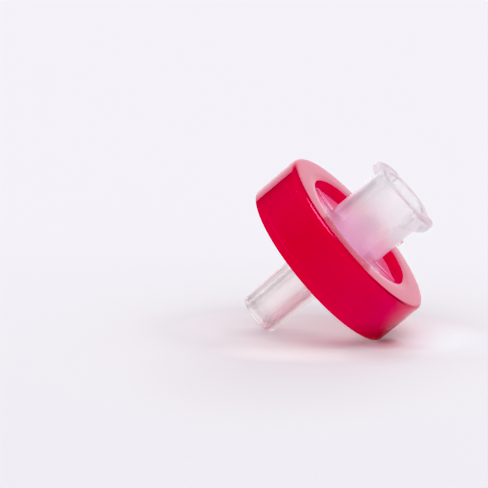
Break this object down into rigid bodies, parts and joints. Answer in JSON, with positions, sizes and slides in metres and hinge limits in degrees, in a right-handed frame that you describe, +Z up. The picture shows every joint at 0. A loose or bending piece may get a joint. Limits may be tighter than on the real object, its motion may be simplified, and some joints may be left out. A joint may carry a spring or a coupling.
{
  "type": "syringe filter",
  "caption": "Round disc filter for a syringe: a moulded red ring clamps clear housing halves, with a Luer-lock inlet hub and a tapered slip outlet nozzle on its axis.",
  "frame": {"origin": "middle of the footprint of the filter's box, on the bench that it rests on", "axes": "+Z up. The filter lies on its ring's outlet edge and its nozzle's tip, as it rests on a bench. Its own axis is in the XZ plane, 48.8 degrees from +Z towards +X: the inlet hub points up to +X and the outlet nozzle down to -X. +Y is level, across the disc."},
  "size_m": [0.0172, 0.0174, 0.0161],
  "materials": {
    "crimson_plastic": "glossy",
    "frosted_plastic": "frosted, translucent",
    "clear_plastic": "translucent",
    "white_film": "matt, porous"
  },
  "bodies": {
    "root": {"overmold_ring": "crimson_plastic", "inlet_housing": "frosted_plastic", "filter_membrane": "white_film", "outlet_housing": "clear_plastic"}
  },
  "joints": []
}
